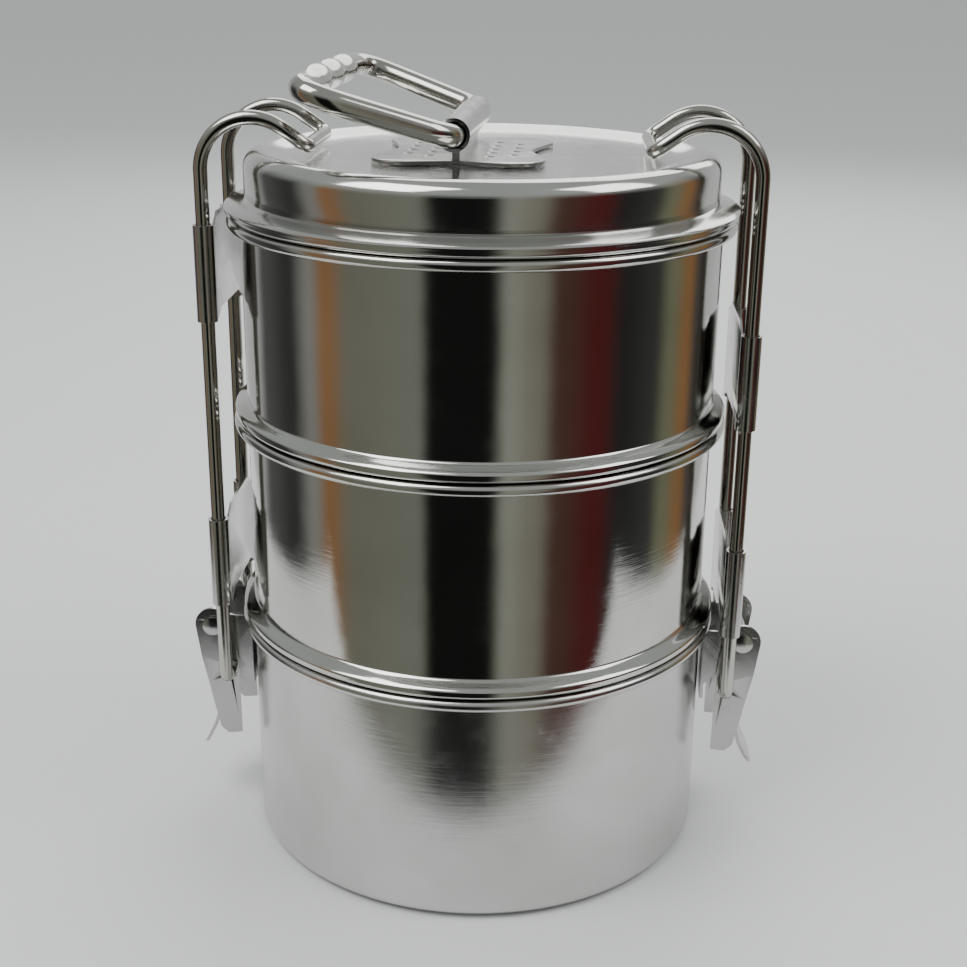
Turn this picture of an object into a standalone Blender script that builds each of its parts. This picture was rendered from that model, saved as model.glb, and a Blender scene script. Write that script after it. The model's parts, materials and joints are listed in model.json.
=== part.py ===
"""Three-tier steel tiffin carrier: nested bowls, lid with a bail handle, two side clamps.

Dimensions are in millimetres and become metres through MM.
Frame: origin at the centre of the base, +Z up, the clamps at +X (right) and -X (left).
"""
import math

import bmesh
import bpy
from mathutils import Matrix, Vector

MM = 0.001
COLLECTION = "tiffin_carrier"

# Bowls and lid
SHEET = 0.9                  # thickness of the steel sheet
RIM_R = 70.0                 # outer radius of the rolled rims
BEAD_R = 1.6                 # radius of a rim's roll
RIM_Z = (68.0, 127.5, 183.4)  # tops of the rims, from the bottom bowl up
BOTTOM_WALL_R = 66.8
UPPER_WALL_R = 66.3
NEST_R = 65.1                # base that sits inside the rim below
NEST_DEPTH = 5.0
CORNER_R = 3.0               # fillet round each base
BULGE_R = 69.6               # pressed ring that rests over the rim below
BULGE_H = 4.4
GAP = 0.3                    # left between neighbouring pieces
TURN_STEPS = 40
LID_WALL_R = 64.9
LID_BULGE_R = 70.3
LID_SKIRT_DEPTH = 4.2
LID_FLOOR_Z = 199.0          # top of the sunk disc
LID_FLOOR_R = 52.0
LID_RING_RISE = 1.7
LID_RING_R = 59.5
LID_SHOULDER_R = 4.5

# Handle
SADDLE_X = -4.7
SADDLE_Z = 207.3
SADDLE_R = 4.3
SADDLE_BORE_R = 3.45
SADDLE_HALF_L = 30.5
SADDLE_NECK = 2.0
WING_HALF_X = 23.0
WING_HALF_Y = 28.0
WING_NOTCH = 3.0             # depth of the notch between the two wings
BAIL_R = 3.1
BAIL_NEAR_HALF = 36.0
BAIL_FAR_HALF = 49.0
BAIL_REACH = 39.0
BAIL_TILT = math.radians(18.0)
BAIL_NEAR_BEND = 6.5
BAIL_FAR_BEND = 13.0
HANDLE_TURN = math.radians(-2.1)  # the lid sits turned a little from the clamps
GRIP_HALF = 28.0
GRIP_BUMPS = 3
GRIP_SWELL = 1.0

# Clamps, modelled at +X
WIRE_R = 1.95
WIRE_X = 74.2
WIRE_Y = 16.75
WIRE_BEND_R = 3.0
WIRE_FOOT_Y = 11.25
HOOK_R = 14.0
HOOK_ARC_Z = 195.4
HOOK_END_DEG = 125.0
HOOK_BEND = 3.6
HOOK_CLEARANCE = 1.2         # hook bar above the sunk disc
LEVER_PIVOT = (78.6, 60.5)   # lever on bracket, (x, z)
WIRE_PIVOT = (WIRE_X, 45.2)  # wire on lever, (x, z)
EAR_Y = (10.0, 10.9)         # inner and outer face
EAR_R = 4.0
CHEEK_Y = (11.3, 12.2)
CHEEK_R = 5.3
PIN_R = 1.8
PIN_HEAD_R = 2.9
PIN_HEAD_Y = (12.5, 13.3)
PIN_HOLE_R = 2.1
FOOT_HOLE_R = 2.3
PAD_X = (67.15, 68.05)
PAD_Z = (41.0, 63.5)
SLEEVE_R = 2.85
SLEEVE_BORE_R = 2.25
SLEEVE_HALF_L = 13.25
SLEEVE_WEB_RISE = 3.0        # the web stands this much higher than its rolls
SLEEVE_Z = {
    "left_upper": 167.75,
    "left_lower": 83.25,
    "right_upper": 140.75,
    "right_lower": 78.25,
}
ROUND_SIDES = 16


# ---------------------------------------------------------------- helpers

def clear_scene():
    for item in list(bpy.data.objects):
        bpy.data.objects.remove(item, do_unlink=True)


def place(name, data):
    """Link a new object into the carrier's collection."""
    group = bpy.data.collections.get(COLLECTION)
    if group is None:
        group = bpy.data.collections.new(COLLECTION)
        bpy.context.scene.collection.children.link(group)
    item = bpy.data.objects.new(name, data)
    group.objects.link(item)
    return item


def steel(name, colour, roughness):
    material = bpy.data.materials.new(name)
    material.use_nodes = True
    shader = material.node_tree.nodes["Principled BSDF"]
    shader.inputs["Base Color"].default_value = (*colour, 1.0)
    shader.inputs["Metallic"].default_value = 1.0
    shader.inputs["Roughness"].default_value = roughness
    return material


def paint(item, material, angle=40.0):
    """Give a mesh object its one material and smooth shading."""
    item.data.materials.clear()
    item.data.materials.append(material)
    item.data.shade_smooth()
    item.data.set_sharp_from_angle(angle=math.radians(angle))


def arc(centre, radius, start, end, steps):
    """Points on an arc, in degrees from the first axis towards the second."""
    angles = [math.radians(start + (end - start) * i / steps) for i in range(steps + 1)]
    return [(centre[0] + radius * math.cos(a), centre[1] + radius * math.sin(a)) for a in angles]


def circle(centre, radius, sides=ROUND_SIDES):
    return arc(centre, radius, 0.0, 360.0 * (sides - 1) / sides, sides - 1)


def turned(name, profile):
    """A solid turned about Z; the (radius, z) profile runs down its outer side."""
    mesh = bpy.data.meshes.new(name)
    points = [(r * MM, 0.0, z * MM) for r, z in profile]
    edges = [(i, i + 1) for i in range(len(points) - 1)]
    mesh.from_pydata(points, edges, [])
    item = place(name, mesh)
    screw = item.modifiers.new("turn", "SCREW")
    screw.steps = TURN_STEPS
    screw.render_steps = TURN_STEPS
    screw.use_merge_vertices = True
    screw.merge_threshold = 0.00001
    return item


def solid(item):
    """Replace an object by one closed mesh of what it evaluates to, in world space."""
    bpy.context.view_layer.update()
    graph = bpy.context.evaluated_depsgraph_get()
    name = item.name
    mesh = bpy.data.meshes.new_from_object(item.evaluated_get(graph))
    mesh.transform(item.matrix_world)
    bm = bmesh.new()
    bm.from_mesh(mesh)
    bmesh.ops.remove_doubles(bm, verts=bm.verts, dist=0.00001)
    bmesh.ops.recalc_face_normals(bm, faces=bm.faces)
    bm.to_mesh(mesh)
    bm.free()
    bpy.data.objects.remove(item, do_unlink=True)
    return place(name, mesh)


def plate(name, outline, thickness, middle, plane, holes=()):
    """A flat outline with a thickness, in plane "xy", "xz" or "yz", centred on middle."""
    curve = bpy.data.curves.new(name, "CURVE")
    curve.dimensions = "2D"
    curve.fill_mode = "BOTH"
    curve.extrude = thickness * MM / 2.0
    for loop in (outline, *holes):
        spline = curve.splines.new("POLY")
        spline.points.add(len(loop) - 1)
        for point, (u, v) in zip(spline.points, loop):
            point.co = (u * MM, v * MM, 0.0, 1.0)
        spline.use_cyclic_u = True
    item = place(name, curve)
    quarter = math.pi / 2.0
    item.rotation_euler = {"xy": (0.0, 0.0, 0.0), "xz": (quarter, 0.0, 0.0),
                           "yz": (quarter, 0.0, quarter)}[plane]
    item.location = Vector(middle) * MM
    return solid(item)


def rod(name, points, radius, swell=None, closed=False):
    """A round wire through points, thickened at each point by its swell."""
    curve = bpy.data.curves.new(name, "CURVE")
    curve.dimensions = "3D"
    curve.bevel_depth = radius * MM
    curve.bevel_resolution = 2
    curve.use_fill_caps = not closed
    spline = curve.splines.new("POLY")
    spline.points.add(len(points) - 1)
    for i, (point, spot) in enumerate(zip(spline.points, points)):
        point.co = (*(Vector(spot) * MM), 1.0)
        if swell:
            point.radius = 1.0 + swell[i] / radius
    spline.use_cyclic_u = closed
    return solid(place(name, curve))


def box(name, low, high):
    mesh = bpy.data.meshes.new(name)
    bm = bmesh.new()
    bmesh.ops.create_cube(bm, size=1.0)
    bmesh.ops.scale(bm, vec=[(b - a) * MM for a, b in zip(low, high)], verts=bm.verts)
    bmesh.ops.translate(bm, vec=[(a + b) * MM / 2.0 for a, b in zip(low, high)], verts=bm.verts)
    bm.to_mesh(mesh)
    bm.free()
    return place(name, mesh)


def combine(base, others, operation="UNION"):
    """Join or intersect a mesh object with others, which are then removed."""
    for other in others:
        boolean = base.modifiers.new("combine", "BOOLEAN")
        boolean.operation = operation
        boolean.object = other
        boolean.solver = "EXACT"
    result = solid(base)
    for other in others:
        bpy.data.objects.remove(other, do_unlink=True)
    return result


def set_origin(item, spot):
    """Put an object's origin at a point in millimetres, with its mesh left where it is."""
    origin = Vector(spot) * MM
    item.data.transform(Matrix.Translation(-origin))
    item.location = origin


def settle(item, name, side, pivot, material):
    """Name a clamp piece, turn it to the left side if needed, and put its origin at its pivot."""
    sign = 1.0
    if side == "left":
        sign = -1.0
        item.data.transform(Matrix.Rotation(math.pi, 4, "Z"))
    set_origin(item, (pivot[0] * sign, 0.0, pivot[1]))
    item.name = side + "_" + name
    paint(item, material)


def offset_line(line, distance):
    """A polyline moved sideways, to the left of its direction."""
    moved = []
    for i, (u, v) in enumerate(line):
        before = line[max(i - 1, 0)]
        after = line[min(i + 1, len(line) - 1)]
        run = Vector((after[0] - before[0], after[1] - before[1])).normalized()
        moved.append((u - run.y * distance, v + run.x * distance))
    return moved


def round_corner(before, corner, after, length, steps):
    """Points of a soft bend that starts and ends this length away from the corner."""
    corner = Vector(corner)
    start = corner + (Vector(before) - corner).normalized() * length
    end = corner + (Vector(after) - corner).normalized() * length
    points = []
    for i in range(steps + 1):
        t = i / steps
        points.append(start * (1 - t) ** 2 + corner * 2 * t * (1 - t) + end * t ** 2)
    return points


# ---------------------------------------------------------------- bowls and lid

def rim_profile(wall_r, top):
    """From the inner wall over the rolled rim and down to the outer wall."""
    inner = wall_r - SHEET
    points = arc((inner + BEAD_R, top - BEAD_R), BEAD_R, 180.0, 90.0, 2)
    points += arc((RIM_R - BEAD_R, top - BEAD_R), BEAD_R, 90.0, -90.0, 4)
    points.append((wall_r, top - 2.0 * BEAD_R))
    return points


def base_profile(radius, bottom):
    """The base from its middle outwards along the inside, and back inwards underneath."""
    centre = (radius - CORNER_R, bottom + CORNER_R)
    inner = [(0.0, bottom + SHEET)] + arc(centre, CORNER_R - SHEET, -90.0, 0.0, 2)
    outer = arc(centre, CORNER_R, 0.0, -90.0, 2) + [(0.0, bottom)]
    return inner, outer


def bulge_profile(wall_r, bulge_r, seat, inset):
    """The pressed ring above a rim, from the wall down to the nested base, moved in by inset."""
    return [
        (wall_r - inset, seat + BULGE_H),
        (bulge_r - inset, seat + BULGE_H * 0.43),
        (bulge_r - 0.2 - inset, seat + BULGE_H * 0.15 + inset * 0.6),
        (bulge_r - 0.9 - inset, seat + inset),
        (NEST_R - inset, seat + inset),
    ]


def bottom_bowl():
    inner, outer = base_profile(BOTTOM_WALL_R, 0.0)
    return turned("bottom_bowl", inner + rim_profile(BOTTOM_WALL_R, RIM_Z[0]) + outer)


def upper_bowl(name, level):
    """A bowl that nests in the one below it; the middle bowl is level 1."""
    seat = RIM_Z[level - 1] + GAP
    inner, outer = base_profile(NEST_R, seat - NEST_DEPTH)
    profile = inner + bulge_profile(UPPER_WALL_R, BULGE_R, seat, SHEET)[::-1]
    profile += rim_profile(UPPER_WALL_R, RIM_Z[level])
    profile += bulge_profile(UPPER_WALL_R, BULGE_R, seat, 0.0) + outer
    return turned(name, profile)


def lid():
    """A sunk disc inside a low ring, a straight wall, and a skirt inside the top rim."""
    seat = RIM_Z[2] + GAP
    crest = LID_FLOOR_Z + LID_RING_RISE
    shoulder = (LID_WALL_R - LID_SHOULDER_R, crest - LID_SHOULDER_R)
    hem_z = seat - LID_SKIRT_DEPTH
    disc = [(0.0, LID_FLOOR_Z), (LID_FLOOR_R, LID_FLOOR_Z), (LID_RING_R, crest)]
    outside = disc + arc(shoulder, LID_SHOULDER_R, 90.0, 0.0, 3)
    outside += bulge_profile(LID_WALL_R, LID_BULGE_R, seat, 0.0) + [(NEST_R, hem_z)]
    inside = [(NEST_R - SHEET, hem_z)]
    inside += bulge_profile(LID_WALL_R, LID_BULGE_R, seat, SHEET)[::-1]
    inside += arc(shoulder, LID_SHOULDER_R - SHEET, 0.0, 90.0, 3)
    inside += [(r, z - SHEET) for r, z in disc[::-1]]
    return turned("lid", outside + inside)


# ---------------------------------------------------------------- handle

def wing_outline():
    """Two scalloped wings either side of the strap."""
    quarter = [(SADDLE_NECK, WING_HALF_Y - WING_NOTCH)]
    quarter += arc((WING_HALF_X - 10.0, WING_HALF_Y - 10.0), 10.0, 90.0, 0.0, 4)
    quarter += [(WING_HALF_X - 3.0, 9.0), (WING_HALF_X - 5.0, 0.0)]
    half = quarter + [(x, -y) for x, y in quarter[-2::-1]]
    return half + [(-x, y) for x, y in half[::-1]]


def turn_handle(item):
    """Turn a piece of the handle about the upright through the saddle's middle."""
    middle = Matrix.Translation(Vector((SADDLE_X, 0.0, 0.0)) * MM)
    item.data.transform(middle @ Matrix.Rotation(HANDLE_TURN, 4, "Z") @ middle.inverted())


def handle_saddle(material):
    """A strap folded round the handle's bar, with wings on the lid."""
    wing_z = LID_FLOOR_Z + GAP + SHEET / 2.0
    tube = plate("handle_saddle", circle((0.0, 0.0), SADDLE_R), 2.0 * SADDLE_HALF_L,
                 (SADDLE_X, 0.0, SADDLE_Z), "xz", [circle((0.0, 0.0), SADDLE_BORE_R)])
    neck_y = WING_HALF_Y - WING_NOTCH - 1.0
    neck = box("neck", (SADDLE_X - SADDLE_NECK / 2.0, -neck_y, wing_z),
               (SADDLE_X + SADDLE_NECK / 2.0, neck_y, SADDLE_Z - SADDLE_R + 0.4))
    wings = plate("wings", wing_outline(), SHEET, (SADDLE_X, 0.0, wing_z), "xy")
    saddle = combine(tube, [neck, wings])
    turn_handle(saddle)
    paint(saddle, material)


def bail_handle(material):
    """A closed wire loop, wider at its grip, which swells between the fingers."""
    near_l = (0.0, -BAIL_NEAR_HALF)
    far_l = (BAIL_REACH, -BAIL_FAR_HALF)
    far_r = (BAIL_REACH, BAIL_FAR_HALF)
    near_r = (0.0, BAIL_NEAR_HALF)
    steps = 4 * GRIP_BUMPS
    grip = [(BAIL_REACH, GRIP_HALF * (2.0 * i / steps - 1.0)) for i in range(steps + 1)]
    bumps = [GRIP_SWELL * abs(math.sin(math.pi * i / 4.0)) for i in range(steps + 1)]
    before = round_corner(near_r, near_l, far_l, BAIL_NEAR_BEND, 4)
    before += round_corner(near_l, far_l, far_r, BAIL_FAR_BEND, 5)
    after = round_corner(far_l, far_r, near_r, BAIL_FAR_BEND, 5)
    after += round_corner(far_r, near_r, near_l, BAIL_NEAR_BEND, 4)
    loop = before + grip + after
    swell = [0.0] * len(before) + bumps + [0.0] * len(after)
    points = [(SADDLE_X - u * math.cos(BAIL_TILT), y, SADDLE_Z + u * math.sin(BAIL_TILT))
              for u, y in loop]
    bail = rod("bail_handle", points, BAIL_R, swell, closed=True)
    turn_handle(bail)
    set_origin(bail, (SADDLE_X, 0.0, SADDLE_Z))
    paint(bail, material)


# ---------------------------------------------------------------- clamps, built at +X

def clamp_wire():
    """Two legs, each with a foot turned in through the lever, joined by the hook's bar."""
    bend_z = WIRE_PIVOT[1] + WIRE_BEND_R
    leg = [(WIRE_X, -WIRE_FOOT_Y, WIRE_PIVOT[1])]
    for y, z in arc((-WIRE_Y + WIRE_BEND_R, bend_z), WIRE_BEND_R, -90.0, -180.0, 3):
        leg.append((WIRE_X, y, z))
    bow = arc((WIRE_X - HOOK_R, HOOK_ARC_Z), HOOK_R, 0.0, HOOK_END_DEG, 8)
    leg += [(x, -WIRE_Y, z) for x, z in bow]
    bar_z = LID_FLOOR_Z + HOOK_CLEARANCE + WIRE_R
    end = math.radians(HOOK_END_DEG)
    drop = (bow[-1][1] - bar_z) / math.cos(math.pi - end)
    bar_x = bow[-1][0] - drop * math.sin(math.pi - end)
    start = (bow[-1][0], -WIRE_Y, bow[-1][1])
    leg += round_corner(start, (bar_x, -WIRE_Y, bar_z), (bar_x, 0.0, bar_z), HOOK_BEND, 3)
    points = [Vector(spot) for spot in leg]
    points += [Vector((x, -y, z)) for x, y, z in points[::-1]]
    return rod("wire", points, WIRE_R)


def sleeve_plate(centre_z):
    """A plate with its two edges rolled round the wire's legs."""
    rolls = []
    for y in (-WIRE_Y, WIRE_Y):
        rolls.append(plate("roll", circle((0.0, 0.0), SLEEVE_R), 2.0 * SLEEVE_HALF_L,
                           (WIRE_X, y, centre_z), "xy", [circle((0.0, 0.0), SLEEVE_BORE_R)]))
    seam_y = WIRE_Y - 0.85
    half = [
        (11.0, SLEEVE_WEB_RISE - SLEEVE_HALF_L),
        (seam_y, 0.4 - SLEEVE_HALF_L),
        (seam_y, SLEEVE_HALF_L - 0.4),
        (11.0, SLEEVE_WEB_RISE + SLEEVE_HALF_L),
    ]
    outline = half + [(-y, z) for y, z in half[::-1]]
    thickness = SLEEVE_R - SLEEVE_BORE_R
    web_x = WIRE_X - SLEEVE_R + 0.05 + thickness / 2.0
    web = plate("web", outline, thickness, (web_x, 0.0, centre_z), "yz")
    return combine(web, rolls)


def cheek_outline():
    """Side view of a lever, in (x, z), with its round head about the pivot."""
    head = arc(LEVER_PIVOT, CHEEK_R, -10.0, 180.0, 8)
    foot = [(71.3, 24.8), (75.4, 24.4), (77.6, 26.4), (79.3, 34.0), (80.7, 41.5), (82.5, 50.0)]
    return foot + head + [(72.4, 57.0), (71.5, 50.0)]


def lever():
    """Two cheeks joined by an outer web that ends in a finger tab curled outwards."""
    holes = [circle(LEVER_PIVOT, PIN_HOLE_R), circle(WIRE_PIVOT, FOOT_HOLE_R)]
    middle_y = sum(CHEEK_Y) / 2.0
    cheeks = [plate("cheek", cheek_outline(), CHEEK_Y[1] - CHEEK_Y[0], (0.0, y, 0.0), "xz", holes)
              for y in (-middle_y, middle_y)]
    line = [(83.1, 55.5), (82.4, 50.0), (80.6, 41.5), (79.2, 34.0), (79.1, 30.0), (80.1, 26.3),
            (82.1, 22.2), (84.2, 18.2), (85.2, 15.4)]
    strip = plate("strip", line + offset_line(line, -SHEET)[::-1], 24.0, (0.0, 0.0, 0.0), "xz")
    web_half = CHEEK_Y[1] - 0.3
    tab_half = 10.0
    corner = 9.0
    half = [(web_half, 57.0), (web_half, 34.5), (tab_half, 31.5)]
    half += arc((tab_half - corner, 16.0 + corner), corner, 0.0, -90.0, 4)
    front = plate("front", half + [(-y, z) for y, z in half[::-1]], 40.0, (80.0, 0.0, 0.0), "yz")
    return combine(cheeks[0], [cheeks[1], combine(strip, [front], "INTERSECT")])


def base_bracket():
    """A pad on the bottom bowl with two ears that carry the lever's pin."""
    pad_half = EAR_Y[1] - 0.3
    pad = box("pad", (PAD_X[0], -pad_half, PAD_Z[0]), (PAD_X[1], pad_half, PAD_Z[1]))
    x, z = LEVER_PIVOT
    root_x = PAD_X[0] + 0.15
    outline = [(root_x, 45.0), (73.0, 51.0)] + arc((x, z), EAR_R, -60.0, 90.0, 6)
    outline += [(72.0, PAD_Z[1] - 0.3), (root_x, PAD_Z[1] - 0.3)]
    middle_y = sum(EAR_Y) / 2.0
    ears = [plate("ear", outline, EAR_Y[1] - EAR_Y[0], (0.0, y, 0.0), "xz",
                  [circle(LEVER_PIVOT, PIN_HOLE_R)]) for y in (-middle_y, middle_y)]
    return combine(pad, ears)


def lever_pin():
    """A rivet through the ears and cheeks, with a head at each end."""
    reach = PIN_HEAD_Y[0] + 0.2
    shaft = plate("shaft", circle((0.0, 0.0), PIN_R), 2.0 * reach,
                  (LEVER_PIVOT[0], 0.0, LEVER_PIVOT[1]), "xz")
    head_y = sum(PIN_HEAD_Y) / 2.0
    heads = [plate("head", circle((0.0, 0.0), PIN_HEAD_R), PIN_HEAD_Y[1] - PIN_HEAD_Y[0],
                   (LEVER_PIVOT[0], y, LEVER_PIVOT[1]), "xz") for y in (-head_y, head_y)]
    return combine(shaft, heads)


def clamp(side, pressed, wire_steel):
    upper_z = SLEEVE_Z[side + "_upper"]
    lower_z = SLEEVE_Z[side + "_lower"]
    settle(base_bracket(), "base_bracket", side, LEVER_PIVOT, pressed)
    settle(lever_pin(), "lever_pin", side, LEVER_PIVOT, pressed)
    settle(lever(), "lever", side, LEVER_PIVOT, pressed)
    settle(clamp_wire(), "clamp_wire", side, WIRE_PIVOT, wire_steel)
    settle(sleeve_plate(upper_z), "upper_sleeve_plate", side, (WIRE_X, upper_z), pressed)
    settle(sleeve_plate(lower_z), "lower_sleeve_plate", side, (WIRE_X, lower_z), pressed)


def main():
    clear_scene()
    polished = steel("polished_steel", (0.66, 0.66, 0.64), 0.12)
    brushed = steel("brushed_steel", (0.62, 0.62, 0.61), 0.27)
    wire_steel = steel("wire_steel", (0.60, 0.59, 0.57), 0.15)
    pressed = steel("pressed_steel", (0.56, 0.56, 0.55), 0.25)
    paint(solid(bottom_bowl()), brushed)
    paint(solid(upper_bowl("middle_bowl", 1)), polished)
    paint(solid(upper_bowl("top_bowl", 2)), polished)
    paint(solid(lid()), polished)
    handle_saddle(pressed)
    bail_handle(wire_steel)
    clamp("right", pressed, wire_steel)
    clamp("left", pressed, wire_steel)


main()
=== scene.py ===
"""The looks of the steel tiffin carrier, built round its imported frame.

Every piece is made again with fine round surfaces and rides on the body of the node it replaces.
Dimensions are in millimetres and become metres through MM.
"""
import json
import math

import bmesh
import bpy
from mathutils import Matrix, Vector

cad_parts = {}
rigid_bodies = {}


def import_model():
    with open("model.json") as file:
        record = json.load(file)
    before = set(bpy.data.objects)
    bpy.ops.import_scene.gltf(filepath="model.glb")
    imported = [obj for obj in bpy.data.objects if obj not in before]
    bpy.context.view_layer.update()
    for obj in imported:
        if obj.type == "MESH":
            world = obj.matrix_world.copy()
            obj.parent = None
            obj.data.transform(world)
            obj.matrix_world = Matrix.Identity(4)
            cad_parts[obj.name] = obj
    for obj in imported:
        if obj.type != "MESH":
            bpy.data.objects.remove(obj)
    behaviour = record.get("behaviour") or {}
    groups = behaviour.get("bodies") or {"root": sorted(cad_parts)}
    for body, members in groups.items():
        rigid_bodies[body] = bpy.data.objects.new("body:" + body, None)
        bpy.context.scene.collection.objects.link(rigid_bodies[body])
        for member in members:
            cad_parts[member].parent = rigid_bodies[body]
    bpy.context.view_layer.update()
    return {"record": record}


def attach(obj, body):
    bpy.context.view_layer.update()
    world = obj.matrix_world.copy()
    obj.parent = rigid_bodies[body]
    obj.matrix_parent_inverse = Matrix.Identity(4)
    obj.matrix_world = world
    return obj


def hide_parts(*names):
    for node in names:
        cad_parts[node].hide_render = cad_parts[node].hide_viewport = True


MM = 0.001

# Bowls and lid
SHEET = 0.9                  # thickness of the steel sheet
RIM_R = 70.0                 # outer radius of the rolled rims
BEAD_R = 1.6                 # radius of a rim's roll
RIM_Z = (68.0, 127.5, 183.4)  # tops of the rims, from the bottom bowl up
BOTTOM_WALL_R = 66.8
UPPER_WALL_R = 66.3
NEST_R = 65.1                # base that sits inside the rim below
NEST_DEPTH = 5.0
CORNER_R = 3.0               # fillet round each base
BULGE_R = 69.6               # pressed ring that rests over the rim below
BULGE_H = 4.4
GAP = 0.3                    # left between neighbouring pieces
TURN_STEPS = 240             # sides of a turned piece
LID_WALL_R = 64.9
LID_BULGE_R = 70.3
LID_SKIRT_DEPTH = 4.2
LID_FLOOR_Z = 199.0          # top of the sunk disc
LID_FLOOR_R = 52.0
LID_RING_RISE = 1.7
LID_RING_R = 59.5
LID_SHOULDER_R = 4.5

# Handle
SADDLE_X = -4.7
SADDLE_Z = 207.3
SADDLE_R = 4.3
SADDLE_BORE_R = 3.45
SADDLE_HALF_L = 30.5
SADDLE_NECK = 2.0
WING_HALF_X = 23.0
WING_HALF_Y = 28.0
WING_NOTCH = 3.0             # depth of the notch between the two wings
BAIL_R = 3.1
BAIL_NEAR_HALF = 36.0
BAIL_FAR_HALF = 49.0
BAIL_REACH = 39.0
BAIL_TILT = math.radians(18.0)
BAIL_NEAR_BEND = 6.5
BAIL_FAR_BEND = 13.0
HANDLE_TURN = math.radians(-2.1)  # the lid sits turned a little from the clamps
GRIP_HALF = 28.0
GRIP_BUMPS = 3
GRIP_SWELL = 1.0

# Clamps, modelled at +X
WIRE_R = 1.95
WIRE_X = 74.2
WIRE_Y = 16.75
WIRE_BEND_R = 3.0
WIRE_FOOT_Y = 11.25
HOOK_R = 14.0
HOOK_ARC_Z = 195.4
HOOK_END_DEG = 125.0
HOOK_BEND = 3.6
HOOK_CLEARANCE = 1.2         # hook bar above the sunk disc
LEVER_PIVOT = (78.6, 60.5)   # lever on bracket, (x, z)
WIRE_PIVOT = (WIRE_X, 45.2)  # wire on lever, (x, z)
EAR_Y = (10.0, 10.9)         # inner and outer face
EAR_R = 4.0
CHEEK_Y = (11.3, 12.2)
CHEEK_R = 5.3
PIN_R = 1.8
PIN_HEAD_R = 2.9
PIN_HEAD_Y = (12.5, 13.3)
PIN_HOLE_R = 2.1
FOOT_HOLE_R = 2.3
PAD_X = (67.15, 68.05)
PAD_Z = (41.0, 63.5)
SLEEVE_R = 2.85
SLEEVE_BORE_R = 2.25
SLEEVE_HALF_L = 13.25
SLEEVE_WEB_RISE = 3.0        # the web stands this much higher than its rolls
SLEEVE_Z = {
    "left_upper": 167.75,
    "left_lower": 83.25,
    "right_upper": 140.75,
    "right_lower": 78.25,
}
ROUND_SIDES = 40
FINE = 5                     # arcs get this many times the frame's steps
BUMP_STEPS = 20              # points along each swelling of the grip
SOFT_EDGE = 0.16             # rounding of cut sheet edges
RIVET_EDGE = 0.38            # rounding of the rivets' heads
RING_STEPS = 10              # steps up the lid's raised ring
WELD_X = (8.0, 14.0)         # rows of weld marks, out from the strap
WELD_COUNT = 5
WELD_PITCH = 7.5
WELD_R = 2.2
WELD_DEPTH = 0.5


# ---------------------------------------------------------------- helpers

def place(name, data):
    """Link a new object into the scene."""
    item = bpy.data.objects.new(name, data)
    bpy.context.scene.collection.objects.link(item)
    return item


def arc(centre, radius, start, end, steps):
    """Points on an arc, in degrees from the first axis towards the second."""
    count = steps * FINE
    angles = [math.radians(start + (end - start) * i / count) for i in range(count + 1)]
    return [(centre[0] + radius * math.cos(a), centre[1] + radius * math.sin(a)) for a in angles]


def circle(centre, radius):
    """Points round a full circle."""
    angles = [2.0 * math.pi * i / ROUND_SIDES for i in range(ROUND_SIDES)]
    return [(centre[0] + radius * math.cos(a), centre[1] + radius * math.sin(a)) for a in angles]


def smooth_line(line, steps):
    """A smooth curve through the points of a line."""
    points = []
    for i in range(len(line) - 1):
        p0, p1, p2, p3 = (Vector(line[min(max(i + k, 0), len(line) - 1)]) for k in (-1, 0, 1, 2))
        for j in range(steps):
            t = j / steps
            points.append(tuple(0.5 * (2.0 * p1 + (p2 - p0) * t
                                       + (2.0 * p0 - 5.0 * p1 + 4.0 * p2 - p3) * t ** 2
                                       + (3.0 * p1 - p0 - 3.0 * p2 + p3) * t ** 3)))
    return points + [tuple(line[-1])]


def soften(item, width=SOFT_EDGE):
    """Round the cut edges of a sheet piece a little."""
    bevel = item.modifiers.new("soften", "BEVEL")
    bevel.width = width * MM
    bevel.segments = 2
    bevel.limit_method = "ANGLE"
    bevel.angle_limit = math.radians(50.0)
    return solid(item)


def turned(name, profile):
    """A solid turned about Z; the (radius, z) profile runs down its outer side."""
    mesh = bpy.data.meshes.new(name)
    points = [(r * MM, 0.0, z * MM) for r, z in profile]
    edges = [(i, i + 1) for i in range(len(points) - 1)]
    mesh.from_pydata(points, edges, [])
    item = place(name, mesh)
    screw = item.modifiers.new("turn", "SCREW")
    screw.steps = TURN_STEPS
    screw.render_steps = TURN_STEPS
    screw.use_merge_vertices = True
    screw.merge_threshold = 0.00001
    return item


def solid(item):
    """Replace an object by one closed mesh of what it evaluates to, in world space."""
    bpy.context.view_layer.update()
    graph = bpy.context.evaluated_depsgraph_get()
    name = item.name
    mesh = bpy.data.meshes.new_from_object(item.evaluated_get(graph))
    mesh.transform(item.matrix_world)
    bm = bmesh.new()
    bm.from_mesh(mesh)
    bmesh.ops.remove_doubles(bm, verts=bm.verts, dist=0.00001)
    bmesh.ops.recalc_face_normals(bm, faces=bm.faces)
    bm.to_mesh(mesh)
    bm.free()
    bpy.data.objects.remove(item, do_unlink=True)
    return place(name, mesh)


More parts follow.
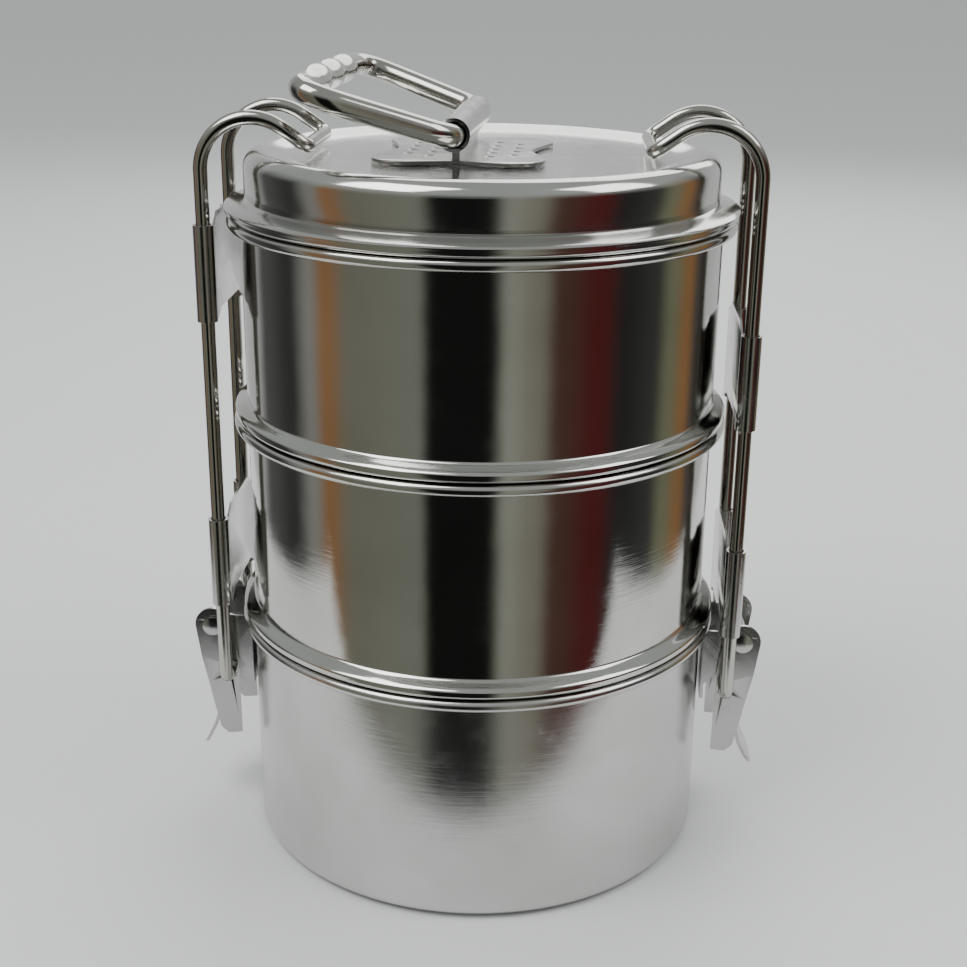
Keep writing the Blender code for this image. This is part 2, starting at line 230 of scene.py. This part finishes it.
def plate(name, outline, thickness, middle, plane, holes=()):
    """A flat outline with a thickness, in plane "xy", "xz" or "yz", centred on middle."""
    curve = bpy.data.curves.new(name, "CURVE")
    curve.dimensions = "2D"
    curve.fill_mode = "BOTH"
    curve.extrude = thickness * MM / 2.0
    for loop in (outline, *holes):
        spline = curve.splines.new("POLY")
        spline.points.add(len(loop) - 1)
        for point, (u, v) in zip(spline.points, loop):
            point.co = (u * MM, v * MM, 0.0, 1.0)
        spline.use_cyclic_u = True
    item = place(name, curve)
    quarter = math.pi / 2.0
    item.rotation_euler = {"xy": (0.0, 0.0, 0.0), "xz": (quarter, 0.0, 0.0),
                           "yz": (quarter, 0.0, quarter)}[plane]
    item.location = Vector(middle) * MM
    return solid(item)


def rod(name, points, radius, swell=None, closed=False):
    """A round wire through points, thickened at each point by its swell."""
    curve = bpy.data.curves.new(name, "CURVE")
    curve.dimensions = "3D"
    curve.bevel_depth = radius * MM
    curve.bevel_resolution = 8
    curve.use_fill_caps = not closed
    spline = curve.splines.new("POLY")
    spline.points.add(len(points) - 1)
    for i, (point, spot) in enumerate(zip(spline.points, points)):
        point.co = (*(Vector(spot) * MM), 1.0)
        if swell:
            point.radius = 1.0 + swell[i] / radius
    spline.use_cyclic_u = closed
    return solid(place(name, curve))


def box(name, low, high):
    mesh = bpy.data.meshes.new(name)
    bm = bmesh.new()
    bmesh.ops.create_cube(bm, size=1.0)
    bmesh.ops.scale(bm, vec=[(b - a) * MM for a, b in zip(low, high)], verts=bm.verts)
    bmesh.ops.translate(bm, vec=[(a + b) * MM / 2.0 for a, b in zip(low, high)], verts=bm.verts)
    bm.to_mesh(mesh)
    bm.free()
    return place(name, mesh)


def combine(base, others, operation="UNION"):
    """Join or intersect a mesh object with others, which are then removed."""
    for other in others:
        boolean = base.modifiers.new("combine", "BOOLEAN")
        boolean.operation = operation
        boolean.object = other
        boolean.solver = "EXACT"
    result = solid(base)
    for other in others:
        bpy.data.objects.remove(other, do_unlink=True)
    return result


def offset_line(line, distance):
    """A polyline moved sideways, to the left of its direction."""
    moved = []
    for i, (u, v) in enumerate(line):
        before = line[max(i - 1, 0)]
        after = line[min(i + 1, len(line) - 1)]
        run = Vector((after[0] - before[0], after[1] - before[1])).normalized()
        moved.append((u - run.y * distance, v + run.x * distance))
    return moved


def round_corner(before, corner, after, length, steps):
    """Points of a soft bend that starts and ends this length away from the corner."""
    corner = Vector(corner)
    start = corner + (Vector(before) - corner).normalized() * length
    end = corner + (Vector(after) - corner).normalized() * length
    points = []
    for i in range(steps * FINE + 1):
        t = i / (steps * FINE)
        points.append(start * (1 - t) ** 2 + corner * 2 * t * (1 - t) + end * t ** 2)
    return points


# ---------------------------------------------------------------- bowls and lid

def rim_profile(wall_r, top):
    """From the inner wall over the rolled rim and down to the outer wall."""
    inner = wall_r - SHEET
    points = arc((inner + BEAD_R, top - BEAD_R), BEAD_R, 180.0, 90.0, 2)
    points += arc((RIM_R - BEAD_R, top - BEAD_R), BEAD_R, 90.0, -90.0, 4)
    points.append((wall_r, top - 2.0 * BEAD_R))
    return points


def base_profile(radius, bottom):
    """The base from its middle outwards along the inside, and back inwards underneath."""
    centre = (radius - CORNER_R, bottom + CORNER_R)
    inner = [(0.0, bottom + SHEET)] + arc(centre, CORNER_R - SHEET, -90.0, 0.0, 2)
    outer = arc(centre, CORNER_R, 0.0, -90.0, 2) + [(0.0, bottom)]
    return inner, outer


def bulge_profile(wall_r, bulge_r, seat, inset):
    """The pressed ring above a rim, from the wall down to the nested base, moved in by inset."""
    ring = [
        (wall_r - inset, seat + BULGE_H + 0.8),
        (wall_r + 0.3 - inset, seat + BULGE_H),
        (bulge_r - 0.3 - inset, seat + BULGE_H * 0.62),
        (bulge_r - inset, seat + BULGE_H * 0.38 + inset * 0.2),
        (bulge_r - 0.2 - inset, seat + BULGE_H * 0.15 + inset * 0.6),
        (bulge_r - 0.9 - inset, seat + inset),
    ]
    return smooth_line(ring, 4) + [(NEST_R - inset, seat + inset)]


def bottom_bowl():
    inner, outer = base_profile(BOTTOM_WALL_R, 0.0)
    return turned("bottom_bowl", inner + rim_profile(BOTTOM_WALL_R, RIM_Z[0]) + outer)


def upper_bowl(name, level):
    """A bowl that nests in the one below it; the middle bowl is level 1."""
    seat = RIM_Z[level - 1] + GAP
    inner, outer = base_profile(NEST_R, seat - NEST_DEPTH)
    profile = inner + bulge_profile(UPPER_WALL_R, BULGE_R, seat, SHEET)[::-1]
    profile += rim_profile(UPPER_WALL_R, RIM_Z[level])
    profile += bulge_profile(UPPER_WALL_R, BULGE_R, seat, 0.0) + outer
    return turned(name, profile)


def lid():
    """A sunk disc inside a low ring, a straight wall, and a skirt inside the top rim."""
    seat = RIM_Z[2] + GAP
    crest = LID_FLOOR_Z + LID_RING_RISE
    shoulder = (LID_WALL_R - LID_SHOULDER_R, crest - LID_SHOULDER_R)
    hem_z = seat - LID_SKIRT_DEPTH
    disc = [(0.0, LID_FLOOR_Z)]
    for i in range(RING_STEPS + 1):
        t = i / RING_STEPS
        ease = t * t * (3.0 - 2.0 * t)
        radius = LID_FLOOR_R + (LID_RING_R - LID_FLOOR_R) * t
        disc.append((radius, LID_FLOOR_Z + LID_RING_RISE * ease))
    outside = disc + arc(shoulder, LID_SHOULDER_R, 90.0, 0.0, 3)
    outside += bulge_profile(LID_WALL_R, LID_BULGE_R, seat, 0.0) + [(NEST_R, hem_z)]
    inside = [(NEST_R - SHEET, hem_z)]
    inside += bulge_profile(LID_WALL_R, LID_BULGE_R, seat, SHEET)[::-1]
    inside += arc(shoulder, LID_SHOULDER_R - SHEET, 0.0, 90.0, 3)
    inside += [(r, z - SHEET) for r, z in disc[::-1]]
    return turned("lid", outside + inside)


# ---------------------------------------------------------------- handle

def weld_marks(surface_z):
    """Shallow round dimples, in two rows on each wing, that cut into its top face."""
    marks = []
    for side in (-1.0, 1.0):
        for row, x in enumerate(WELD_X):
            for i in range(WELD_COUNT - row):
                y = (i - (WELD_COUNT - row - 1) / 2.0) * WELD_PITCH
                mesh = bpy.data.meshes.new("mark")
                bm = bmesh.new()
                bmesh.ops.create_uvsphere(bm, u_segments=20, v_segments=12, radius=WELD_R * MM)
                spot = Vector((SADDLE_X + side * x, y, surface_z + WELD_R - WELD_DEPTH)) * MM
                bmesh.ops.translate(bm, vec=spot, verts=bm.verts)
                bm.to_mesh(mesh)
                bm.free()
                marks.append(place("mark", mesh))
    return marks


def turn_handle(item):
    """Turn a piece of the handle about the upright through the saddle's middle."""
    middle = Matrix.Translation(Vector((SADDLE_X, 0.0, 0.0)) * MM)
    item.data.transform(middle @ Matrix.Rotation(HANDLE_TURN, 4, "Z") @ middle.inverted())


def wing_outline():
    """Two scalloped wings either side of the strap."""
    quarter = [(SADDLE_NECK, WING_HALF_Y - WING_NOTCH)]
    quarter += arc((WING_HALF_X - 10.0, WING_HALF_Y - 10.0), 10.0, 90.0, 0.0, 4)
    quarter += [(WING_HALF_X - 3.0, 9.0), (WING_HALF_X - 5.0, 0.0)]
    half = quarter + [(x, -y) for x, y in quarter[-2::-1]]
    return half + [(-x, y) for x, y in half[::-1]]


def handle_saddle():
    """A strap folded round the handle's bar, with wings on the lid."""
    wing_z = LID_FLOOR_Z + GAP + SHEET / 2.0
    tube = plate("handle_saddle", circle((0.0, 0.0), SADDLE_R), 2.0 * SADDLE_HALF_L,
                 (SADDLE_X, 0.0, SADDLE_Z), "xz", [circle((0.0, 0.0), SADDLE_BORE_R)])
    neck_y = WING_HALF_Y - WING_NOTCH - 1.0
    neck = box("neck", (SADDLE_X - SADDLE_NECK / 2.0, -neck_y, wing_z),
               (SADDLE_X + SADDLE_NECK / 2.0, neck_y, SADDLE_Z - SADDLE_R + 0.4))
    wings = plate("wings", wing_outline(), SHEET, (SADDLE_X, 0.0, wing_z), "xy")
    saddle = combine(tube, [neck, wings])
    saddle = combine(saddle, weld_marks(wing_z + SHEET / 2.0), "DIFFERENCE")
    turn_handle(saddle)
    return saddle


def bail_handle():
    """A closed wire loop, wider at its grip, which swells between the fingers."""
    near_l = (0.0, -BAIL_NEAR_HALF)
    far_l = (BAIL_REACH, -BAIL_FAR_HALF)
    far_r = (BAIL_REACH, BAIL_FAR_HALF)
    near_r = (0.0, BAIL_NEAR_HALF)
    steps = BUMP_STEPS * GRIP_BUMPS
    grip = [(BAIL_REACH, GRIP_HALF * (2.0 * i / steps - 1.0)) for i in range(steps + 1)]
    bumps = [GRIP_SWELL * abs(math.sin(math.pi * i / BUMP_STEPS)) for i in range(steps + 1)]
    before = round_corner(near_r, near_l, far_l, BAIL_NEAR_BEND, 4)
    before += round_corner(near_l, far_l, far_r, BAIL_FAR_BEND, 5)
    after = round_corner(far_l, far_r, near_r, BAIL_FAR_BEND, 5)
    after += round_corner(far_r, near_r, near_l, BAIL_NEAR_BEND, 4)
    loop = before + grip + after
    swell = [0.0] * len(before) + bumps + [0.0] * len(after)
    points = [(SADDLE_X - u * math.cos(BAIL_TILT), y, SADDLE_Z + u * math.sin(BAIL_TILT))
              for u, y in loop]
    bail = rod("bail_handle", points, BAIL_R, swell, closed=True)
    turn_handle(bail)
    return bail


# ---------------------------------------------------------------- clamps, built at +X

def clamp_wire():
    """Two legs, each with a foot turned in through the lever, joined by the hook's bar."""
    bend_z = WIRE_PIVOT[1] + WIRE_BEND_R
    leg = [(WIRE_X, -WIRE_FOOT_Y, WIRE_PIVOT[1])]
    for y, z in arc((-WIRE_Y + WIRE_BEND_R, bend_z), WIRE_BEND_R, -90.0, -180.0, 3):
        leg.append((WIRE_X, y, z))
    bow = arc((WIRE_X - HOOK_R, HOOK_ARC_Z), HOOK_R, 0.0, HOOK_END_DEG, 8)
    leg += [(x, -WIRE_Y, z) for x, z in bow]
    bar_z = LID_FLOOR_Z + HOOK_CLEARANCE + WIRE_R
    end = math.radians(HOOK_END_DEG)
    drop = (bow[-1][1] - bar_z) / math.cos(math.pi - end)
    bar_x = bow[-1][0] - drop * math.sin(math.pi - end)
    start = (bow[-1][0], -WIRE_Y, bow[-1][1])
    leg += round_corner(start, (bar_x, -WIRE_Y, bar_z), (bar_x, 0.0, bar_z), HOOK_BEND, 3)
    points = [Vector(spot) for spot in leg]
    points += [Vector((x, -y, z)) for x, y, z in points[::-1]]
    return rod("wire", points, WIRE_R)


def sleeve_plate(centre_z):
    """A plate with its two edges rolled round the wire's legs."""
    rolls = []
    for y in (-WIRE_Y, WIRE_Y):
        rolls.append(plate("roll", circle((0.0, 0.0), SLEEVE_R), 2.0 * SLEEVE_HALF_L,
                           (WIRE_X, y, centre_z), "xy", [circle((0.0, 0.0), SLEEVE_BORE_R)]))
    seam_y = WIRE_Y - 0.85
    half = [
        (11.0, SLEEVE_WEB_RISE - SLEEVE_HALF_L),
        (seam_y, 0.4 - SLEEVE_HALF_L),
        (seam_y, SLEEVE_HALF_L - 0.4),
        (11.0, SLEEVE_WEB_RISE + SLEEVE_HALF_L),
    ]
    outline = half + [(-y, z) for y, z in half[::-1]]
    thickness = SLEEVE_R - SLEEVE_BORE_R
    web_x = WIRE_X - SLEEVE_R + 0.05 + thickness / 2.0
    web = plate("web", outline, thickness, (web_x, 0.0, centre_z), "yz")
    return combine(web, rolls)


def cheek_outline():
    """Side view of a lever, in (x, z), with its round head about the pivot."""
    head = arc(LEVER_PIVOT, CHEEK_R, -10.0, 180.0, 8)
    foot = [(71.3, 24.8), (75.4, 24.4), (77.6, 26.4), (79.3, 34.0), (80.7, 41.5), (82.5, 50.0)]
    return foot + head + [(72.4, 57.0), (71.5, 50.0)]


def lever():
    """Two cheeks joined by an outer web that ends in a finger tab curled outwards."""
    holes = [circle(LEVER_PIVOT, PIN_HOLE_R), circle(WIRE_PIVOT, FOOT_HOLE_R)]
    middle_y = sum(CHEEK_Y) / 2.0
    cheeks = [plate("cheek", cheek_outline(), CHEEK_Y[1] - CHEEK_Y[0], (0.0, y, 0.0), "xz", holes)
              for y in (-middle_y, middle_y)]
    line = [(83.1, 55.5), (82.4, 50.0), (80.6, 41.5), (79.2, 34.0), (79.1, 30.0), (80.1, 26.3),
            (82.1, 22.2), (84.2, 18.2), (85.2, 15.4)]
    strip = plate("strip", line + offset_line(line, -SHEET)[::-1], 24.0, (0.0, 0.0, 0.0), "xz")
    web_half = CHEEK_Y[1] - 0.3
    tab_half = 10.0
    corner = 9.0
    half = [(web_half, 57.0), (web_half, 34.5), (tab_half, 31.5)]
    half += arc((tab_half - corner, 16.0 + corner), corner, 0.0, -90.0, 4)
    front = plate("front", half + [(-y, z) for y, z in half[::-1]], 40.0, (80.0, 0.0, 0.0), "yz")
    return combine(cheeks[0], [cheeks[1], combine(strip, [front], "INTERSECT")])


def base_bracket():
    """A pad on the bottom bowl with two ears that carry the lever's pin."""
    pad_half = EAR_Y[1] - 0.3
    pad = box("pad", (PAD_X[0], -pad_half, PAD_Z[0]), (PAD_X[1], pad_half, PAD_Z[1]))
    x, z = LEVER_PIVOT
    root_x = PAD_X[0] + 0.15
    outline = [(root_x, 45.0), (73.0, 51.0)] + arc((x, z), EAR_R, -60.0, 90.0, 6)
    outline += [(72.0, PAD_Z[1] - 0.3), (root_x, PAD_Z[1] - 0.3)]
    middle_y = sum(EAR_Y) / 2.0
    ears = [plate("ear", outline, EAR_Y[1] - EAR_Y[0], (0.0, y, 0.0), "xz",
                  [circle(LEVER_PIVOT, PIN_HOLE_R)]) for y in (-middle_y, middle_y)]
    return combine(pad, ears)


def lever_pin():
    """A rivet through the ears and cheeks, with a head at each end."""
    reach = PIN_HEAD_Y[0] + 0.2
    shaft = plate("shaft", circle((0.0, 0.0), PIN_R), 2.0 * reach,
                  (LEVER_PIVOT[0], 0.0, LEVER_PIVOT[1]), "xz")
    head_y = sum(PIN_HEAD_Y) / 2.0
    heads = [plate("head", circle((0.0, 0.0), PIN_HEAD_R), PIN_HEAD_Y[1] - PIN_HEAD_Y[0],
                   (LEVER_PIVOT[0], y, LEVER_PIVOT[1]), "xz") for y in (-head_y, head_y)]
    return combine(shaft, heads)


# ---------------------------------------------------------------- materials

def steel(name, colour, tint, roughness, lines, line_depth, smudge):
    """Steel with fine polishing lines, faint waves in the sheet, and smudges of handling.

    The lines run round the carrier's axis: they follow height on a wall and radius on a disc.
    """
    material = bpy.data.materials.new(name)
    material.use_nodes = True
    tree = material.node_tree
    shader = tree.nodes["Principled BSDF"]
    shader.inputs["Metallic"].default_value = 1.0

    def node(kind, **values):
        made = tree.nodes.new(kind)
        for key, value in values.items():
            setattr(made, key, value)
        return made

    def noise(vector, scale, detail):
        made = node("ShaderNodeTexNoise")
        made.inputs["Scale"].default_value = scale
        made.inputs["Detail"].default_value = detail
        tree.links.new(vector, made.inputs["Vector"])
        return made.outputs["Fac"]

    def spread(value, low, high, to_low, to_high):
        made = node("ShaderNodeMapRange")
        for key, number in (("From Min", low), ("From Max", high), ("To Min", to_low),
                            ("To Max", to_high)):
            made.inputs[key].default_value = number
        tree.links.new(value, made.inputs["Value"])
        return made.outputs["Result"]

    def bump(height, strength, distance, normal=None):
        made = node("ShaderNodeBump")
        made.inputs["Strength"].default_value = strength
        made.inputs["Distance"].default_value = distance
        tree.links.new(height, made.inputs["Height"])
        if normal:
            tree.links.new(normal, made.inputs["Normal"])
        return made.outputs["Normal"]

    place_of = node("ShaderNodeTexCoord").outputs["Object"]
    parts = node("ShaderNodeSeparateXYZ")
    tree.links.new(place_of, parts.inputs[0])
    flat = node("ShaderNodeCombineXYZ")
    tree.links.new(parts.outputs["X"], flat.inputs["X"])
    tree.links.new(parts.outputs["Y"], flat.inputs["Y"])
    radius = node("ShaderNodeVectorMath", operation="LENGTH")
    tree.links.new(flat.outputs[0], radius.inputs[0])
    along = node("ShaderNodeMath", operation="ADD")
    tree.links.new(parts.outputs["Z"], along.inputs[0])
    tree.links.new(radius.outputs["Value"], along.inputs[1])
    across = node("ShaderNodeCombineXYZ")
    for axis, value in (("X", parts.outputs["X"]), ("Y", parts.outputs["Y"]),
                        ("Z", along.outputs[0])):
        tree.links.new(value, across.inputs[axis])
    stretched = node("ShaderNodeMapping")
    stretched.inputs["Scale"].default_value = (0.004, 0.004, 1.0)
    tree.links.new(across.outputs[0], stretched.inputs["Vector"])

    fine_lines = noise(stretched.outputs[0], lines, 5.0)
    waves = noise(place_of, 38.0, 2.0)
    marks = noise(place_of, 120.0, 6.0)

    mixed = node("ShaderNodeMix", data_type="RGBA")
    mixed.inputs["A"].default_value = (*colour, 1.0)
    mixed.inputs["B"].default_value = (*tint, 1.0)
    tree.links.new(spread(waves, 0.35, 0.7, 0.0, 1.0), mixed.inputs["Factor"])
    tree.links.new(mixed.outputs["Result"], shader.inputs["Base Color"])

    grain = spread(fine_lines, 0.3, 0.7, roughness * 0.8, roughness * 1.2)
    rough = node("ShaderNodeMath", operation="ADD")
    tree.links.new(grain, rough.inputs[0])
    tree.links.new(spread(marks, 0.52, 0.75, 0.0, smudge), rough.inputs[1])
    tree.links.new(rough.outputs[0], shader.inputs["Roughness"])

    normal = bump(waves, 0.25, 0.0006)
    normal = bump(fine_lines, line_depth, 0.00012, normal)
    tree.links.new(normal, shader.inputs["Normal"])
    return material


# Finishes: colour, tint, roughness, scale and depth of the polishing lines, smudges
STEELS = {
    "satin_steel": ((0.62, 0.62, 0.61), (0.56, 0.56, 0.54), 0.19, 9000.0, 0.14, 0.08),
    "polished_steel": ((0.60, 0.60, 0.58), (0.54, 0.54, 0.51), 0.08, 7000.0, 0.08, 0.05),
    "lid_steel": ((0.62, 0.62, 0.60), (0.56, 0.56, 0.54), 0.11, 7000.0, 0.12, 0.06),
    "pressed_steel": ((0.52, 0.52, 0.51), (0.43, 0.43, 0.42), 0.16, 5000.0, 0.15, 0.10),
    "wire_steel": ((0.52, 0.51, 0.48), (0.44, 0.43, 0.40), 0.10, 4000.0, 0.12, 0.08),
}

SMOOTH_TO = 35.0              # edges sharper than this stay crisp, in degrees
FLAT_SHEET = 20.0             # the same for softened sheet, whose flat faces stay flat


def paint(item, material, angle):
    """Give an object its one material and smooth shading, crisp at edges past an angle."""
    item.data.materials.clear()
    item.data.materials.append(material)
    item.data.shade_smooth()
    item.data.set_sharp_from_angle(angle=math.radians(angle))


def floor_material():
    """A pale matt surface with a faint mottle."""
    material = bpy.data.materials.new("pale_floor")
    material.use_nodes = True
    tree = material.node_tree
    shader = tree.nodes["Principled BSDF"]
    shader.inputs["Roughness"].default_value = 0.55
    texture = tree.nodes.new("ShaderNodeTexNoise")
    texture.inputs["Scale"].default_value = 9.0
    mixed = tree.nodes.new("ShaderNodeMix")
    mixed.data_type = "RGBA"
    mixed.inputs["A"].default_value = (0.70, 0.71, 0.71, 1.0)
    mixed.inputs["B"].default_value = (0.74, 0.75, 0.75, 1.0)
    tree.links.new(texture.outputs["Fac"], mixed.inputs["Factor"])
    tree.links.new(mixed.outputs["Result"], shader.inputs["Base Color"])
    return material


# ---------------------------------------------------------------- studio

CAMERA_AZIMUTH = -3.0
CAMERA_ELEVATION = 19.69
CAMERA_DISTANCE = 0.4422
CAMERA_ROLL = 0.64
CAMERA_TARGET = (0.00122, 0.1034)     # to the right, and up
CAMERA_LENS = 55.95
SENSOR = 36.0

SURROUND = (0.66, 0.67, 0.67)         # what the camera and matt surfaces see
SKY = (0.44, 0.46, 0.45)              # what shiny surfaces see above the room
SKY_STARTS, SKY_FULL = 0.12, 0.55     # heights on a unit sphere
FLOOR_REACH = 9.0                     # half width of the floor, in metres
FLOOR_Z, TABLE_Z = -0.0006, -0.0003   # just under the base, the table over the floor
TABLE_LOW, TABLE_HIGH = (-0.26, -0.115), (0.26, 0.9)  # the small table that the steel reflects

# Soft lights: (name, place in metres, width, power)
LIGHTS = (
    ("key", (-0.7, -0.5, 1.3), 0.9, 13.0),
    ("fill", (0.9, -0.2, 1.0), 0.7, 5.0),
    ("back", (0.1, 1.0, 0.9), 1.0, 7.5),
)

# The room that the steel reflects: (degrees round from the front, positive to the right, colour)
ROOM = (
    (-180.0, (0.66, 0.67, 0.67)),
    (-134.0, (0.56, 0.57, 0.57)),
    (-120.0, (0.10, 0.10, 0.10)),
    (-98.0, (0.05, 0.05, 0.05)),
    (-84.0, (0.28, 0.28, 0.26)),
    (-74.0, (0.32, 0.17, 0.08)),
    (-60.0, (0.20, 0.20, 0.16)),
    (-26.0, (0.22, 0.23, 0.19)),
    (-20.0, (0.012, 0.012, 0.012)),
    (8.0, (0.012, 0.012, 0.012)),
    (16.0, (0.32, 0.33, 0.28)),
    (30.0, (0.24, 0.23, 0.19)),
    (40.0, (0.09, 0.05, 0.04)),
    (60.0, (0.10, 0.02, 0.02)),
    (74.0, (0.03, 0.03, 0.03)),
    (92.0, (0.05, 0.05, 0.05)),
    (103.0, (0.19, 0.20, 0.13)),
    (117.0, (0.30, 0.16, 0.07)),
    (127.0, (0.07, 0.07, 0.07)),
    (138.0, (0.60, 0.61, 0.61)),
)


def studio_world():
    """A plain pale surround, with a room of soft upright bands that only reflections see."""
    world = bpy.data.worlds.new("studio")
    bpy.context.scene.world = world
    world.use_nodes = True
    tree = world.node_tree
    background = tree.nodes["Background"]

    def math_node(operation, first, second):
        made = tree.nodes.new("ShaderNodeMath")
        made.operation = operation
        for socket, value in zip(made.inputs, (first, second)):
            if isinstance(value, float):
                socket.default_value = value
            else:
                tree.links.new(value, socket)
        return made.outputs[0]

    way = tree.nodes.new("ShaderNodeSeparateXYZ")
    tree.links.new(tree.nodes.new("ShaderNodeTexCoord").outputs["Generated"], way.inputs[0])
    front = math_node("MULTIPLY", way.outputs["Y"], -1.0)
    turn = math_node("ARCTAN2", way.outputs["X"], front)
    round_fac = math_node("MULTIPLY_ADD", turn, 0.5 / math.pi)
    round_fac.node.inputs[2].default_value = 0.5
    ramp = tree.nodes.new("ShaderNodeValToRGB")
    ramp.color_ramp.interpolation = "EASE"
    points = ramp.color_ramp.elements
    while len(points) < len(ROOM):
        points.new(0.5)
    for point, (degrees, colour) in zip(points, ROOM):
        point.position = (degrees + 180.0) / 360.0
        point.color = (*colour, 1.0)
    tree.links.new(round_fac, ramp.inputs["Fac"])

    height = tree.nodes.new("ShaderNodeMapRange")
    height.inputs["From Min"].default_value = SKY_STARTS
    height.inputs["From Max"].default_value = SKY_FULL
    tree.links.new(way.outputs["Z"], height.inputs["Value"])
    sky = tree.nodes.new("ShaderNodeMix")
    sky.data_type = "RGBA"
    sky.inputs["B"].default_value = (*SKY, 1.0)
    tree.links.new(height.outputs["Result"], sky.inputs["Factor"])
    tree.links.new(ramp.outputs["Color"], sky.inputs["A"])

    seen = tree.nodes.new("ShaderNodeLightPath")
    plain = tree.nodes.new("ShaderNodeMix")
    plain.data_type = "RGBA"
    plain.inputs["B"].default_value = (*SURROUND, 1.0)
    matt = math_node("MAXIMUM", seen.outputs["Is Camera Ray"], seen.outputs["Is Diffuse Ray"])
    tree.links.new(matt, plain.inputs["Factor"])
    tree.links.new(sky.outputs["Result"], plain.inputs["A"])
    tree.links.new(plain.outputs["Result"], background.inputs["Color"])


def area_light(name, spot, size, energy):
    """A soft square light that points at the middle of the carrier."""
    data = bpy.data.lights.new(name, "AREA")
    data.shape = "SQUARE"
    data.size = size
    data.energy = energy
    lamp = place(name, data)
    lamp.location = spot
    aim = Vector((0.0, 0.0, CAMERA_TARGET[1])) - Vector(spot)
    lamp.rotation_euler = aim.to_track_quat("-Z", "Y").to_euler()


def floor_sheet(name, low, high, z, material):
    """A level rectangle that belongs to the stage."""
    mesh = bpy.data.meshes.new(name)
    corners = [(low[0], low[1], z), (high[0], low[1], z), (high[0], high[1], z), (low[0], high[1], z)]
    mesh.from_pydata(corners, [], [(0, 1, 2, 3)])
    mesh.materials.append(material)
    sheet = place(name, mesh)
    return sheet


def studio():
    """The lights, the floor, and the table top that only reflections see."""
    studio_world()
    for light in LIGHTS:
        area_light(*light)
    pale = floor_material()
    wide = floor_sheet("floor", (-FLOOR_REACH, -FLOOR_REACH), (FLOOR_REACH, FLOOR_REACH), FLOOR_Z, pale)
    wide.visible_glossy = False
    near = floor_sheet("table_top", TABLE_LOW, TABLE_HIGH, TABLE_Z, pale)
    near.visible_camera = False
    near.visible_diffuse = False
    near.visible_shadow = False


def camera():
    """The camera, aimed at the middle of the carrier."""
    azimuth = math.radians(CAMERA_AZIMUTH)
    elevation = math.radians(CAMERA_ELEVATION)
    roll = math.radians(CAMERA_ROLL)
    ahead = Vector((math.sin(azimuth) * math.cos(elevation),
                    math.cos(azimuth) * math.cos(elevation), -math.sin(elevation)))
    level = Vector((math.cos(azimuth), -math.sin(azimuth), 0.0))
    above = level.cross(ahead)
    right = level * math.cos(roll) + above * math.sin(roll)
    up = above * math.cos(roll) - level * math.sin(roll)
    target = Vector((0.0, 0.0, CAMERA_TARGET[1])) + level * CAMERA_TARGET[0]
    turn = Matrix((right, up, -ahead)).transposed().to_4x4()
    data = bpy.data.cameras.new("camera")
    data.lens = CAMERA_LENS
    data.sensor_width = SENSOR
    data.clip_start = 0.01
    eye = place("camera", data)
    eye.matrix_world = Matrix.Translation(target - ahead * CAMERA_DISTANCE) @ turn
    bpy.context.scene.camera = eye


# ---------------------------------------------------------------- assembly

def carry(item, node, frame, materials, angle=SMOOTH_TO):
    """Let a fine piece stand for its CAD node, with that node's body, slot and steel."""
    record = frame["record"]
    slot = next(part["material_slot"] for part in record["subparts"] if part["node"] == node)
    groups = record["behaviour"]["bodies"]
    body = next(name for name, members in groups.items() if node in members)
    item.name = node + "_surface"
    paint(item, materials[slot], angle)
    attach(item, body)
    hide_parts(node)


def clamp_pieces():
    """The maker of each fixed piece of a clamp, by the end of its node's name."""
    return {
        "base_bracket": base_bracket,
        "lever_pin": lever_pin,
        "lever": lever,
        "clamp_wire": clamp_wire,
    }


def main():
    """Build every piece, the studio and the camera."""
    for item in list(bpy.data.objects):
        bpy.data.objects.remove(item, do_unlink=True)
    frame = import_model()
    materials = {name: steel(name, *finish) for name, finish in STEELS.items()}
    carry(solid(bottom_bowl()), "bottom_bowl", frame, materials)
    carry(solid(upper_bowl("middle", 1)), "middle_bowl", frame, materials)
    carry(solid(upper_bowl("top", 2)), "top_bowl", frame, materials)
    carry(solid(lid()), "lid", frame, materials)
    carry(soften(handle_saddle()), "handle_saddle", frame, materials, FLAT_SHEET)
    carry(bail_handle(), "bail_handle", frame, materials)
    for side in ("right", "left"):
        made = {name: maker() for name, maker in clamp_pieces().items()}
        for level in ("upper", "lower"):
            made[level + "_sleeve_plate"] = sleeve_plate(SLEEVE_Z[side + "_" + level])
        for name, item in made.items():
            angle = SMOOTH_TO
            if name == "lever_pin":
                item = soften(item, RIVET_EDGE)
            elif name != "clamp_wire":
                item = soften(item)
                angle = FLAT_SHEET
            if side == "left":
                item.data.transform(Matrix.Rotation(math.pi, 4, "Z"))
            carry(item, side + "_" + name, frame, materials, angle)
    studio()
    camera()


main()
